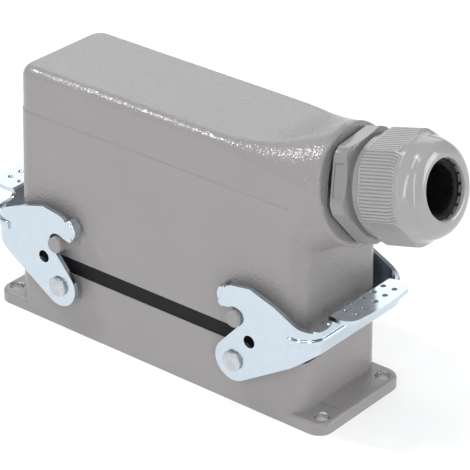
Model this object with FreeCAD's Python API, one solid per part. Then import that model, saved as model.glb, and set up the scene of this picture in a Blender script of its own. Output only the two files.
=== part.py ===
import FreeCAD, Part
import math
import os

# Heavy duty rectangular connector: a die cast hood with a sloping cable gland, locked on a low
# bulkhead base by two folded sheet levers. All sizes are millimetres.
# The origin is the centre of the base's four screw holes on the panel face. X runs along the
# connector towards the gland, Y to the back, Z up.

# Base housing
HOLE_SPACING_X = 130.0
HOLE_SPACING_Y = 32.0
HOLE_RADIUS = 2.25
HOLE_COUNTERSINK = 0.45
FLANGE_END = 4.15
FLANGE_HEIGHT = 4.2
FLANGE_CORNER = 5.2
FLANGE_EDGE = 1.4
BASE_LENGTH = 119.1
BASE_WIDTH = 42.2
BASE_HEIGHT = 21.65
BASE_CORNER = 6.0
BASE_DRAFT = 0.35
BASE_WALL = 2.8
PANEL_LIP = 1.0
PANEL_LIP_HEIGHT = 3.4
EAR_WEB_WIDTH = 19.4
EAR_WEB_RISE = 0.5
EAR_WEB_END_RISE = 0.2
EAR_WEB_INSET = 1.5

# Seals
GASKET_HEIGHT = 5.4
GASKET_RECESS = 0.35
GASKET_WIDTH = 2.3
PANEL_SEAL_WIDTH = 1.8
PANEL_SEAL_DEPTH = 1.3

# Hood
HOOD_SHORTER = 0.3
HOOD_NARROWER = 0.2
HOOD_CORNER = 6.0
HOOD_HEIGHT = 62.55
HOOD_LENGTH_DRAFT = 2.5
HOOD_WIDTH_DRAFT = 2.1
HOOD_TOP_CORNER = 5.6
HOOD_TOP_ROUND = 4.0
HOOD_WALL = 3.0
SKIRT_HEIGHT = 13.0
SKIRT_STEP = 0.25
CROWN_HEIGHT = 15.4
CROWN_STEP = 0.18
PEG_RADIUS = 2.8
PEG_REACH = 26.9
PEG_ROOT_RADIUS = 4.6
PEG_CHAMFER = 0.4

# Gland boss: the ring that the gland screws against, and the slope of its axis
GLAND_TILT = 15.0
BOSS_OVERHANG = 6.75
BOSS_BELOW_TOP = 10.7
BOSS_RADIUS = 19.2
BOSS_CHAMFER = 0.9
BOSS_COLLAR = 1.6
BOSS_THREAD_DEPTH = 11.0
BOSS_CORE_RADIUS = 15.2
FLARE_LENGTH = 30.0

# The flare's cross sections from the hood's walls to the ring: the top point's distance back from the
# hood's end and its rise above the hood's top, the low point's distance out of the end and its drop below
# the ring, how far the sides are set in, and the corner radius
FLARE_SECTIONS = [
    (42.0, -0.05, -42.0, 12.0, 0.05, 4.0),
    (FLARE_LENGTH, 0.0, -FLARE_LENGTH, 12.0, 0.0, 4.1),
    (17.0, 1.2, -10.0, 7.5, 0.0, 8.0),
    (10.0, 3.15, -0.6, 3.6, 0.0, 12.5),
    (5.0, 5.1, 3.8, 1.4, 0.15, 16.0),
]

# Levers
SHEET = 1.5
LEVER_FACE = 25.4
PIVOT_INSET = 22.75
PIVOT_BELOW_RIM = 3.65
LEVER_END_RADIUS = 7.1
PEG_OFFSET = 0.5
PEG_RISE = 15.4
PEG_CLEARANCE = 0.11
SLOT_OFFSET_X = -0.2
SLOT_OFFSET_Z = 0.45
HOOK_GAP = 0.3
HOOK_X = -3.2
HOOK_RISE = 21.5
HOOK_RADIUS = 4.1
LIP_DEPTH = 3.5
LIP_ROUND = 1.1
LIP_FIRST_ANGLE = 108
LIP_ANGLE = 114
BAR_GAP = 5.95
BAR_LOW = 11.2
BAR_TOP = 18.9
BEND_RADIUS = 7.5
NECK_HALF = 14.6
NECK_FOOT_ROUND = 2.2
WINDOW_SLOPE = 1.4
PEDAL_HALF = 15.9
PEDAL_FLARE = 0.9
PEDAL_FLARE_LENGTH = 3.6
PEDAL_BOW = 0.9
PEDAL_RISE = 22.3
PEDAL_REACH = 9.4
PEDAL_TILT = 4.9
PEDAL_CORNER = 4.5
DIMPLE_PITCH = 5.0
DIMPLE_ROW_PITCH = 4.3
DIMPLE_FIRST = 2.4
DIMPLE_RADIUS = 1.05
DIMPLE_DEPTH = 0.6
BEAD_LOW = 13.9
BEAD_WIDTH = 2.7
BEAD_HEIGHT = 0.7
BEAD_START = 21.6
LEVER_HOLE_X = 6.3
LEVER_HOLE_RISE = 8.95
LEVER_HOLE_RADIUS = 2.15

# The lever's side view, measured from the pivot: the upper edge from the hook to the cross bar, the lower edge
# from the cross bar to the pivot, and the small notch measured from the hook's top
LEVER_UPPER_EDGE = [(6.2, 27.5), (15.8, 24.5), (25.2, 20.0)]
LEVER_LOWER_EDGE = [(28.6, 10.2), (22.0, 5.3)]
HOOK_NOTCH = [(0.8, -0.8), (1.4, 0.1), (3.1, 0.9)]

# Rivets
RIVET_RADIUS = 2.5
RIVET_HEAD_RADIUS = 3.45
RIVET_HEAD_HEIGHT = 1.2
RIVET_TAIL_RADIUS = 3.4
RIVET_TAIL_HEIGHT = 1.0
RIVET_BOSS_RADIUS = 3.6
RUNNING_CLEARANCE = 0.06
FACE_CLEARANCE = 0.1

# Gland, measured outwards along its axis from the boss ring
WASHER_THICKNESS = 1.6
WASHER_INSET = 1.0
GLAND_THREAD_RADIUS = 12.5
GLAND_THREAD_LENGTH = 10.0
HEX_FLATS = 32.4
HEX_CORNERS = 35.5
HEX_LENGTH = 6.2
HEX_CHAMFER = 0.9
HEX_PANEL_DEPTH = 0.35
HEX_PANEL_HALF = 5.2
HEX_PANEL_MARGIN = 1.1
HEX_TURN = -24.5
NUT_TURN = -21.0
COLLAR_RADIUS = 15.6
COLLAR_LENGTH = 3.8
NUT_THREAD_RADIUS = 14.0
NUT_THREAD_LENGTH = 9.0
GLAND_BORE = 10.6
CLAW_COUNT = 18
CLAW_SLOT = 1.0
CLAW_WALL = 1.2
CLAW_TIP_RADIUS = 10.3
CLAW_END_GAP = 1.8
SEAL_BORE = 7.4
SEAL_LENGTH = 17.0
NUT_GAP = 0.4
NUT_LENGTH = 20.2
NUT_FLATS = 32.5
NUT_CORNERS = 35.5
NUT_RIB_LENGTH = 12.6
NUT_RIB_COUNT = 102
NUT_RIB_DEPTH = 0.45
NUT_RIB_FLANK = 0.3
NUT_MOUTH = 9.3
NUT_LIP = 2.2

# Contact inserts
INSERT_SCREW_INSET = 7.55
INSERT_SCREW_SIDE = 7.6
INSERT_SCREW_RADIUS = 2.0
INSERT_END_SPACE = 6.0
INSERT_SIDE_SPACE = 3.3
SOCKET_SEAT_BELOW_RIM = 6.15
SOCKET_REAR_DEPTH = 11.0
SOCKET_FRONT_HEIGHT = 17.5
PIN_FRONT_HEIGHT = 9.5
PIN_REAR_HEIGHT = 15.5
SHROUD_WALL = 1.6
SHROUD_GAP = 0.4
SHROUD_DEPTH = 10.5
POLES_PER_ROW = 12
POLE_END_SPACE = 5.3
ROW_PITCH = 13.0
CHAMBER = 4.6
CONTACT_GAP = 0.05
CONTACT_INSET = 1.0
PIN_RADIUS = 1.25
PIN_TIP_DEPTH = 11.5
SOCKET_BORE = 2.7
SOCKET_BORE_DEPTH = 14.0
WIRE_BORE = 3.3
WIRE_BORE_DEPTH = 8.0
PLATE = 1.5
PLATE_SIDE_GAP = 1.6
PLATE_END_GAP = 0.9
PLATE_CORNER = 2.5
BLADE_HALF_WIDTH = 5.0
BLADE = 0.8
BLADE_GAP = 0.2
BLADE_LENGTH = 13.0
POST_WIDTH = 9.0
POST_LENGTH = 8.0
SCREW_DEPTH = 8.0
SCREW_HEAD_RADIUS = 3.4
SCREW_HEAD_HEIGHT = 2.3
SLOT_WIDTH = 0.9
SLOT_DEPTH = 0.9
EARTH_NUT = 7.6
EARTH_NUT_HEIGHT = 3.2
TONGUE = 2.0
TONGUE_HEIGHT = 3.5

# Places worked out from the sizes above
FLANGE_LENGTH = HOLE_SPACING_X + 2 * FLANGE_END
FLANGE_WIDTH = BASE_WIDTH + 2 * BASE_DRAFT
HOOD_LENGTH = BASE_LENGTH - HOOD_SHORTER
HOOD_WIDTH = BASE_WIDTH - HOOD_NARROWER
HOOD_TOP_LENGTH = HOOD_LENGTH - HOOD_LENGTH_DRAFT
HOOD_TOP_WIDTH = HOOD_WIDTH - HOOD_WIDTH_DRAFT
HOOD_BOTTOM = BASE_HEIGHT + GASKET_HEIGHT
HOOD_TOP = HOOD_BOTTOM + HOOD_HEIGHT
CROWN_LINE = HOOD_TOP - CROWN_HEIGHT
BOSS_RING_X = HOOD_TOP_LENGTH / 2 + BOSS_OVERHANG
BOSS_RING_Z = HOOD_TOP - BOSS_BELOW_TOP
PIVOT_X = BASE_LENGTH / 2 - PIVOT_INSET
PIVOT_HEIGHT = BASE_HEIGHT - PIVOT_BELOW_RIM
PEG_X = PIVOT_X + PEG_OFFSET
PEG_Z = PIVOT_HEIGHT + PEG_RISE
LEVER_INNER = LEVER_FACE - SHEET
BAR_INNER = PIVOT_INSET + BAR_GAP
BAR_OUTER = BAR_INNER + SHEET
INNER_LENGTH = BASE_LENGTH - 2 * BASE_WALL
INNER_WIDTH = BASE_WIDTH - 2 * BASE_WALL
CAVITY_TOP = HOOD_TOP - HOOD_WALL
SOCKET_SEAT = BASE_HEIGHT - SOCKET_SEAT_BELOW_RIM
SOCKET_REAR = SOCKET_SEAT - SOCKET_REAR_DEPTH
MATING_FACE = SOCKET_SEAT + SOCKET_FRONT_HEIGHT
PIN_SEAT = MATING_FACE + PIN_FRONT_HEIGHT
PIN_REAR = PIN_SEAT + PIN_REAR_HEIGHT
SHROUD_END = MATING_FACE - SHROUD_DEPTH
PIN_TIP = MATING_FACE - PIN_TIP_DEPTH
INSERT_SCREW_X = BASE_LENGTH - 2 * INSERT_SCREW_INSET
INSERT_SCREW_Y = BASE_WIDTH - 2 * INSERT_SCREW_SIDE
INSERT_HALF_LENGTH = INSERT_SCREW_X / 2 - INSERT_END_SPACE
INSERT_HALF_WIDTH = INNER_WIDTH / 2 - INSERT_SIDE_SPACE
POLE_PITCH = (INSERT_HALF_LENGTH - POLE_END_SPACE) * 2 / (POLES_PER_ROW - 1)
NUT_START = WASHER_THICKNESS + HEX_LENGTH + COLLAR_LENGTH + NUT_GAP
NUT_END = NUT_START + NUT_LENGTH
OVERCUT = 1.0


def vec(x, y, z):
    return FreeCAD.Vector(x, y, z)


def box(x0, x1, y0, y1, z0, z1):
    return Part.makeBox(x1 - x0, y1 - y0, z1 - z0, vec(x0, y0, z0))


def rod(radius, start, end):
    axis = end.sub(start)
    return Part.makeCylinder(radius, axis.Length, start, axis)


def mirrored_x(shape):
    return shape.mirror(vec(0, 0, 0), vec(1, 0, 0))


def mirrored_y(shape):
    return shape.mirror(vec(0, 0, 0), vec(0, 1, 0))


def in_four_corners(shape):
    """The shape and its mirror images in the other three corners."""
    back = mirrored_y(shape)
    return [shape, back, mirrored_x(shape), mirrored_x(back)]


def join(shapes):
    joined = shapes[0]
    for shape in shapes[1:]:
        joined = joined.fuse(shape)
    return joined.removeSplitter()


def rounded_outline(x0, x1, y0, y1, radius, place):
    """A closed wire round a rectangle with round corners. place turns its flat points into space."""
    turn = radius * (1 - math.sqrt(0.5))
    corners = [(x1, y1, -1, -1), (x0, y1, 1, -1), (x0, y0, 1, 1), (x1, y0, -1, 1)]
    marks = []
    for number, (x, y, inward_x, inward_y) in enumerate(corners):
        on_x = place(x + inward_x * radius, y)
        on_y = place(x, y + inward_y * radius)
        middle = place(x + inward_x * turn, y + inward_y * turn)
        ends = (on_y, on_x) if number % 2 == 0 else (on_x, on_y)
        marks.append((ends[0], middle, ends[1]))
    edges = []
    for number, (start, middle, end) in enumerate(marks):
        following = marks[(number + 1) % len(marks)][0]
        edges.append(Part.Arc(start, middle, end).toShape())
        edges.append(Part.LineSegment(end, following).toShape())
    return Part.Wire(edges)


def level_outline(length, width, radius, z):
    return rounded_outline(-length / 2, length / 2, -width / 2, width / 2, radius, lambda x, y: vec(x, y, z))


def block(length, width, radius, z0, z1):
    return Part.Face(level_outline(length, width, radius, z0)).extrude(vec(0, 0, z1 - z0))


def drafted_block(lower, upper, z0, z1):
    """lower and upper are (length, width, corner radius)."""
    return Part.makeLoft([level_outline(*lower, z0), level_outline(*upper, z1)], True, True)


def outline_face(points, place):
    """A flat face from corners, where a point after the word arc is the middle of an arc."""
    edges = []
    start = place(*points[0])
    number = 1
    while number < len(points):
        if points[number] == "arc":
            middle = place(*points[number + 1])
            end = place(*points[number + 2])
            edges.append(Part.Arc(start, middle, end).toShape())
            number += 3
        else:
            end = place(*points[number])
            edges.append(Part.LineSegment(start, end).toShape())
            number += 1
        start = end
    first = place(*points[0])
    if start.distanceToPoint(first) > 0.001:
        edges.append(Part.LineSegment(start, first).toShape())
    return Part.Face(Part.Wire(edges))


def turned(profile, place):
    """A solid of revolution about Z from (radius, height) points."""
    return outline_face(profile, place).revolve(vec(0, 0, 0), vec(0, 0, 1), 360)


def on_circle(centre, radius, degrees):
    angle = math.radians(degrees)
    return (centre[0] + radius * math.cos(angle), centre[1] + radius * math.sin(angle))


def radius_height(radius, height):
    return vec(radius, 0, height)


# Base


def base_housing():
    foot = (BASE_LENGTH + 2 * BASE_DRAFT, FLANGE_WIDTH, BASE_CORNER + BASE_DRAFT)
    rim = (BASE_LENGTH, BASE_WIDTH, BASE_CORNER)
    body = drafted_block(foot, rim, 0, BASE_HEIGHT)
    flange = block(FLANGE_LENGTH, FLANGE_WIDTH, FLANGE_CORNER, 0, FLANGE_HEIGHT)
    top_edges = [edge for edge in flange.Edges if edge.BoundBox.ZMin > FLANGE_HEIGHT - 0.01]
    flange = flange.makeFillet(FLANGE_EDGE, top_edges)
    pieces = [body, flange]
    for web in (ear_web(), mirrored_x(ear_web())):
        pieces.append(web)
    for boss in in_four_corners(rivet_boss()):
        pieces.append(boss)
    housing = join(pieces)
    housing = housing.cut(block(INNER_LENGTH, INNER_WIDTH, BASE_CORNER - BASE_WALL, PANEL_LIP_HEIGHT,
                                BASE_HEIGHT + OVERCUT))
    housing = housing.cut(block(INNER_LENGTH - 2 * PANEL_LIP, INNER_WIDTH - 2 * PANEL_LIP,
                                BASE_CORNER - BASE_WALL, -OVERCUT, PANEL_LIP_HEIGHT + OVERCUT))
    for post in in_four_corners(base_post()):
        housing = housing.fuse(post)
    housing = housing.removeSplitter()
    housing = housing.cut(panel_seal_ring(0.0, OVERCUT))
    for hole in in_four_corners(flange_hole()):
        housing = housing.cut(hole)
    for hole in in_four_corners(insert_screw_hole(SOCKET_SEAT, -1)):
        housing = housing.cut(hole)
    for hole in in_four_corners(rod(RIVET_RADIUS, vec(PIVOT_X, -PEG_REACH, PIVOT_HEIGHT),
                                    vec(PIVOT_X, -INNER_WIDTH / 2 + OVERCUT, PIVOT_HEIGHT))):
        housing = housing.cut(hole)
    return housing


def ear_web():
    """The raised web between the two holes of one ear, a little higher at the wall."""
    wall = BASE_LENGTH / 2 - 1
    end = FLANGE_LENGTH / 2 - EAR_WEB_INSET
    foot = FLANGE_HEIGHT - 1
    points = [(wall, foot), (wall, FLANGE_HEIGHT + EAR_WEB_RISE), (end, FLANGE_HEIGHT + EAR_WEB_END_RISE),
              (end, foot)]
    web = outline_face(points, lambda x, z: vec(x, -EAR_WEB_WIDTH / 2, z)).extrude(vec(0, EAR_WEB_WIDTH, 0))
    end_edges = [edge for edge in web.Edges if edge.BoundBox.XMin > end - 0.01 and edge.BoundBox.ZMin > foot + 0.1]
    return web.makeFillet(EAR_WEB_END_RISE * 0.9, end_edges)


def rivet_boss():
    return rod(RIVET_BOSS_RADIUS, vec(PIVOT_X, -INNER_WIDTH / 2 - 1, PIVOT_HEIGHT),
               vec(PIVOT_X, -LEVER_INNER + FACE_CLEARANCE, PIVOT_HEIGHT))


def post_block(z0, z1, reach):
    x = INSERT_SCREW_X / 2
    y = INSERT_SCREW_Y / 2
    return box(x - POST_LENGTH * 0.4, reach, -y - POST_WIDTH / 2, -y + POST_WIDTH / 2, z0, z1)


def base_post():
    room = block(INNER_LENGTH + BASE_WALL, INNER_WIDTH + BASE_WALL, BASE_CORNER - BASE_WALL / 2, 0, SOCKET_SEAT)
    return post_block(PANEL_LIP_HEIGHT, SOCKET_SEAT, INNER_LENGTH / 2 + 1).common(room)


def insert_screw_hole(seat, direction):
    x = INSERT_SCREW_X / 2
    y = -INSERT_SCREW_Y / 2
    return rod(INSERT_SCREW_RADIUS, vec(x, y, seat), vec(x, y, seat + direction * SCREW_DEPTH))


def flange_hole():
    x = HOLE_SPACING_X / 2
    y = -HOLE_SPACING_Y / 2
    hole = rod(HOLE_RADIUS, vec(x, y, -OVERCUT), vec(x, y, FLANGE_HEIGHT + OVERCUT))
    rim = Part.makeCone(HOLE_RADIUS, HOLE_RADIUS + 2 * HOLE_COUNTERSINK, 2 * HOLE_COUNTERSINK,
                        vec(x, y, FLANGE_HEIGHT - HOLE_COUNTERSINK))
    return hole.fuse(rim)


def ring(length, width, radius, wall, z0, z1):
    outer = block(length, width, radius, z0, z1)
    return outer.cut(block(length - 2 * wall, width - 2 * wall, max(radius - wall, 0.5), z0 - OVERCUT,
                           z1 + OVERCUT))


def panel_seal_ring(slack, below):
    length = (INNER_LENGTH - 2 * PANEL_LIP) + 2 * (PANEL_SEAL_WIDTH + 1.2)
    width = (INNER_WIDTH - 2 * PANEL_LIP) + 2 * (PANEL_SEAL_WIDTH + 1.2)
    return ring(length - 2 * slack, width - 2 * slack, BASE_CORNER - 1.0, PANEL_SEAL_WIDTH - 2 * slack, -below,
                PANEL_SEAL_DEPTH)


def panel_gasket():
    return panel_seal_ring(0.0, 0.0)


def mating_gasket():
    length = BASE_LENGTH - 2 * GASKET_RECESS
    width = BASE_WIDTH - 2 * GASKET_RECESS
    return ring(length, width, BASE_CORNER - GASKET_RECESS, GASKET_WIDTH, BASE_HEIGHT, HOOD_BOTTOM)


def lever_rivets():
    shank_start = -LEVER_FACE - FACE_CLEARANCE
    tail = -INNER_WIDTH / 2
    head_top = RIVET_HEAD_RADIUS - 0.35
    profile = [(0, 0), (RIVET_TAIL_RADIUS, 0), (RIVET_TAIL_RADIUS, RIVET_TAIL_HEIGHT),
               (RIVET_RADIUS, RIVET_TAIL_HEIGHT), (RIVET_RADIUS, RIVET_TAIL_HEIGHT + tail - shank_start),
               (RIVET_HEAD_RADIUS, RIVET_TAIL_HEIGHT + tail - shank_start),
               (RIVET_HEAD_RADIUS, RIVET_TAIL_HEIGHT + tail - shank_start + RIVET_HEAD_HEIGHT - 0.35),
               (head_top, RIVET_TAIL_HEIGHT + tail - shank_start + RIVET_HEAD_HEIGHT),
               (0, RIVET_TAIL_HEIGHT + tail - shank_start + RIVET_HEAD_HEIGHT)]
    rivet = turned(profile, radius_height)
    rivet.rotate(vec(0, 0, 0), vec(1, 0, 0), 90)
    rivet.translate(vec(PIVOT_X, tail + RIVET_TAIL_HEIGHT, PIVOT_HEIGHT))
    return in_four_corners(rivet)


# Levers, drawn from their pivot: x towards the cross bar, z up


def lever_outline():
    """The side view of the lever, hook and slot included."""
    end = LEVER_END_RADIUS
    neck_start = on_circle((0, 0), end, 136)
    low_start = on_circle((0, 0), end, -58.2)
    slot = (PEG_OFFSET + SLOT_OFFSET_X, PEG_RISE + SLOT_OFFSET_Z)
    slot_radius = PEG_RADIUS + math.hypot(SLOT_OFFSET_X, SLOT_OFFSET_Z) + PEG_CLEARANCE
    hook = (HOOK_X, HOOK_RISE)
    hook_inner = math.hypot(PEG_OFFSET, PEG_RISE) + PEG_RADIUS + HOOK_GAP
    slot_end = circles_meet(slot, slot_radius, hook_inner, 1)
    hook_end = circles_meet(hook, HOOK_RADIUS, hook_inner, 1)
    tip_middle = on_circle((0, 0), hook_inner, (bearing(slot_end) + bearing(hook_end)) / 2)
    slot_start = on_circle(slot, slot_radius, -62)
    slot_top = on_circle(slot, slot_radius, 45)
    hook_left = on_circle(hook, HOOK_RADIUS, 180)
    hook_top = on_circle(hook, HOOK_RADIUS, 106)
    notch = [(hook_top[0] + x, hook_top[1] + z) for x, z in HOOK_NOTCH]
    hook_side = [neck_start, slot_start, "arc", slot_top, slot_end, "arc", tip_middle, hook_end,
                 "arc", hook_left, hook_top] + notch
    bar_side = [(BAR_INNER, BAR_TOP), (BAR_INNER, PEDAL_RISE - 1), (BAR_OUTER + 1, PEDAL_RISE - 1),
                (BAR_OUTER + 1, BAR_LOW), (BAR_OUTER, BAR_LOW)]
    pivot_side = [low_start, "arc", on_circle((0, 0), end, -140), neck_start]
    return hook_side + LEVER_UPPER_EDGE + bar_side + LEVER_LOWER_EDGE + pivot_side


def circles_meet(centre, radius, far_radius, side):
    """Where a circle crosses the circle of far_radius round the pivot, on the hook's side."""
    distance = math.hypot(*centre)
    cosine = (far_radius ** 2 + distance ** 2 - radius ** 2) / (2 * far_radius * distance)
    turn = side * math.degrees(math.acos(cosine))
    return on_circle((0, 0), far_radius, bearing(centre) + turn)


def bearing(point):
    return math.degrees(math.atan2(point[1], point[0]))


def u_strip(inside, outside, start, z0, z1):
    """A strip folded round both corners, between two distances outwards from the lever's face."""
    return u_block(outside, start, z0, z1).cut(u_block(inside, start - OVERCUT, z0 - OVERCUT, z1 + OVERCUT))


def u_block(offset, start, z0, z1):
    half = LEVER_FACE + offset
    reach = BAR_OUTER + offset
    bend = BEND_RADIUS + offset
    turn = bend * (1 - math.sqrt(0.5))
    points = [(start, -half), (reach - bend, -half), "arc", (reach - turn, -half + turn), (reach, -half + bend),
              (reach, half - bend), "arc", (reach - turn, half - turn), (reach - bend, half), (start, half)]
    return outline_face(points, lambda x, y: vec(x, y, z0)).extrude(vec(0, 0, z1 - z0))


def neck_windows():
    """What is cut away beside the pedal's neck, above the cross bar."""
    high = PEDAL_RISE + 8
    foot = NECK_FOOT_ROUND
    turn = foot * (1 - math.sqrt(0.5))
    side = LEVER_INNER - 0.2
    neck_top = PEDAL_HALF - PEDAL_FLARE
    points = [(side, high), (side, BAR_TOP + WINDOW_SLOPE), (NECK_HALF + 6, BAR_TOP), (NECK_HALF + foot, BAR_TOP),
              "arc", (NECK_HALF + turn, BAR_TOP + turn), (NECK_HALF, BAR_TOP + foot),
              (neck_top, PEDAL_RISE - 0.6), (neck_top, high)]
    face = outline_face(points, lambda y, z: vec(BAR_INNER - 7, y, z))
    window = face.extrude(vec(12, 0, 0))
    return [window, mirrored_y(window)]


def pedal():
    """The thumb plate, bent outwards from the neck, with its rounded ends."""
    half = PEDAL_HALF
    reach = PEDAL_REACH + SHEET
    corner = PEDAL_CORNER
    turn = corner * (1 - math.sqrt(0.5))
    end = reach - PEDAL_BOW
    side = [(0, half - PEDAL_FLARE), (PEDAL_FLARE_LENGTH, half), (end - corner, half), "arc",
            (end - turn, half - turn), (end, half - corner)]
    other_side = [(end, corner - half), "arc", (end - turn, turn - half), (end - corner, -half),
                  (PEDAL_FLARE_LENGTH, -half), (0, PEDAL_FLARE - half)]
    points = side + ["arc", (reach, 0)] + other_side
    plate = outline_face(points, lambda x, y: vec(x, y, -SHEET)).extrude(vec(0, 0, SHEET))
    root_edges = [edge for edge in plate.Edges if edge.BoundBox.XMax < 0.01 and edge.BoundBox.ZMin > -0.01]
    plate = plate.makeFillet(SHEET * 0.8, root_edges)
    for row in range(2):
        for number in range(5):
            x = DIMPLE_FIRST + row * DIMPLE_ROW_PITCH
            y = (number - 2) * DIMPLE_PITCH
            dimple = Part.makeCone(DIMPLE_RADIUS * 0.4, DIMPLE_RADIUS * 1.1, DIMPLE_DEPTH * 1.1,
                                   vec(x, y, -DIMPLE_DEPTH))
            plate = plate.cut(dimple)
    plate.rotate(vec(0, 0, 0), vec(0, 1, 0), -PEDAL_TILT)
    plate.translate(vec(BAR_INNER, 0, PEDAL_RISE))
    return plate


def round_the_hook(points):
    """A section of (radius, y) points swept round the hook's centre, along its rim."""
    section = outline_face(points, lambda radius, y: vec(radius, y, 0))
    swept = section.revolve(vec(0, 0, 0), vec(0, -1, 0), LIP_ANGLE)
    swept.rotate(vec(0, 0, 0), vec(0, -1, 0), LIP_FIRST_ANGLE)
    swept.translate(vec(HOOK_X, 0, HOOK_RISE))
    return swept


def hook_lip():
    """The rim of the hook, turned in towards the hood."""
    outer = HOOK_RADIUS
    inner = HOOK_RADIUS - SHEET
    face = -LEVER_FACE
    turn = LIP_ROUND * (1 - math.sqrt(0.5))
    return round_the_hook([(inner, face), (outer - LIP_ROUND, face), "arc", (outer - turn, face + turn),
                           (outer, face + LIP_ROUND), (outer, face + LIP_DEPTH), (inner, face + LIP_DEPTH)])


def hook_corner():
    """The sharp plate edge outside the lip's bend, which the fold rounds away."""
    outer = HOOK_RADIUS
    face = -LEVER_FACE
    turn = LIP_ROUND * (1 - math.sqrt(0.5))
    return round_the_hook([(outer - LIP_ROUND, face), (outer - LIP_ROUND, face - 1), (outer + 1, face - 1),
                           (outer + 1, face + LIP_ROUND), (outer, face + LIP_ROUND), "arc",
                           (outer - turn, face + turn), (outer - LIP_ROUND, face)])


def lever_right():
    sheet = u_strip(-SHEET, 0.0, -LEVER_END_RADIUS - OVERCUT, -LEVER_END_RADIUS - OVERCUT, PEDAL_RISE + 6)
    profile = outline_face(lever_outline(), lambda x, z: vec(x, -LEVER_FACE - 2, z))
    lever = sheet.common(profile.extrude(vec(0, 2 * LEVER_FACE + 4, 0)))
    for window in neck_windows():
        lever = lever.cut(window)
    bead = u_strip(-SHEET / 2, BEAD_HEIGHT, BEAD_START, BEAD_LOW, BEAD_LOW + BEAD_WIDTH)
    groove = u_strip(-SHEET - OVERCUT, BEAD_HEIGHT - SHEET, BEAD_START + 0.8, BEAD_LOW + 0.6,
                     BEAD_LOW + BEAD_WIDTH - 0.6)
    lever = lever.fuse(rounded_bead(bead)).fuse(pedal())
    lever = lever.cut(groove)
    for lip, corner in ((hook_lip(), hook_corner()), (mirrored_y(hook_lip()), mirrored_y(hook_corner()))):
        lever = lever.cut(corner).fuse(lip)
    for x, z, radius in ((0, 0, RIVET_RADIUS + RUNNING_CLEARANCE),
                         (LEVER_HOLE_X, LEVER_HOLE_RISE, LEVER_HOLE_RADIUS)):
        lever = lever.cut(rod(radius, vec(x, -LEVER_FACE - 2, z), vec(x, LEVER_FACE + 2, z)))
    lever = lever.removeSplitter()
    lever.translate(vec(PIVOT_X, 0, PIVOT_HEIGHT))
    return lever


def rounded_bead(bead):
    edges = []
    for edge in bead.Edges:
        limits = edge.BoundBox
        level = limits.ZLength < 0.01
        outer = limits.XMax > BAR_OUTER + BEAD_HEIGHT - 0.01 or max(-limits.YMin, limits.YMax) > LEVER_FACE + 0.1
        inner_arc = limits.XMax < BAR_OUTER + 0.01 and max(-limits.YMin, limits.YMax) < LEVER_FACE + 0.01
        crosswise = limits.XLength < 0.01 and limits.YLength < 2 * SHEET
        if level and outer and not inner_arc and not crosswise:
            edges.append(edge)
    return bead.makeFillet(BEAD_HEIGHT * 0.8, edges)


# Hood


def boss_section(top, low, half_width, spread, radius):
    """A rounded outline on the sloping plane from the low point to the top point, wider at its foot by spread."""
    height = math.hypot(top[0] - low[0], top[1] - low[1])
    step_x = (top[0] - low[0]) / height
    step_z = (top[1] - low[1]) / height

    def place(across, up):
        wide = across * (1 + spread / half_width * (1 - up / height))
        return vec(low[0] + up * step_x, wide, low[1] + up * step_z)

    return rounded_outline(-half_width, half_width, 0, height, radius, place)


def gland_axis():
    angle = math.radians(GLAND_TILT)
    return vec(math.cos(angle), 0, math.sin(angle))


def gland_upward():
    angle = math.radians(GLAND_TILT)
    return vec(-math.sin(angle), 0, math.cos(angle))


def ring_section(along, radius):
    """A round section of the boss, square to the gland's axis."""
    centre = vec(BOSS_RING_X, 0, BOSS_RING_Z).add(gland_axis() * along)
    top = centre.add(gland_upward() * radius)
    low = centre.sub(gland_upward() * radius)
    return boss_section((top.x, top.z), (low.x, low.z), radius, 0, radius - 0.05)


def gland_boss():
    """The flare that grows out of the hood's top and sides into the round boss."""
    ring_low = vec(BOSS_RING_X, 0, BOSS_RING_Z).sub(gland_upward() * BOSS_RADIUS)
    end = HOOD_TOP_LENGTH / 2
    draft = (HOOD_WIDTH - 2 * SKIRT_STEP - HOOD_TOP_WIDTH) / 2 / HOOD_HEIGHT
    sections = []
    for back, rise, out, drop, inset, corner in FLARE_SECTIONS:
        top = (end - back, HOOD_TOP + rise)
        low = (end + out, ring_low.z - drop)
        sections.append(boss_section(top, low, HOOD_TOP_WIDTH / 2 - inset, draft * (HOOD_TOP - low[1]), corner))
    sections.append(ring_section(-BOSS_COLLAR - BOSS_CHAMFER, BOSS_RADIUS))
    flare = Part.makeLoft(sections, True, False)
    collar = Part.Face(ring_section(-BOSS_COLLAR - BOSS_CHAMFER, BOSS_RADIUS)).extrude(gland_axis() * BOSS_COLLAR)
    chamfer = Part.makeLoft([ring_section(-BOSS_CHAMFER, BOSS_RADIUS),
                             ring_section(0, BOSS_RADIUS - BOSS_CHAMFER)], True, True)
    return flare.fuse(collar).fuse(chamfer)


def peg():
    wall = -HOOD_WIDTH / 2 + HOOD_WALL / 2
    root_end = -LEVER_INNER + 2 * FACE_CLEARANCE
    shaft = rod(PEG_RADIUS, vec(PEG_X, wall, PEG_Z), vec(PEG_X, PEG_CHAMFER - PEG_REACH, PEG_Z))
    tip = Part.makeCone(PEG_RADIUS, PEG_RADIUS - PEG_CHAMFER, PEG_CHAMFER,
                        vec(PEG_X, PEG_CHAMFER - PEG_REACH, PEG_Z), vec(0, -1, 0))
    root = Part.makeCone(PEG_ROOT_RADIUS, PEG_RADIUS, wall - root_end, vec(PEG_X, wall, PEG_Z), vec(0, -1, 0))
    return shaft.fuse(tip).fuse(root)


def hood_post():
    limit = INNER_LENGTH / 2 + 0.6
    room = block(2 * limit, INNER_WIDTH + HOOD_WALL / 2, HOOD_CORNER - HOOD_WALL / 2, 0, HOOD_TOP)
    return post_block(PIN_SEAT + PLATE, PIN_SEAT + PLATE + SCREW_DEPTH + 2.5, limit).common(room)


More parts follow.
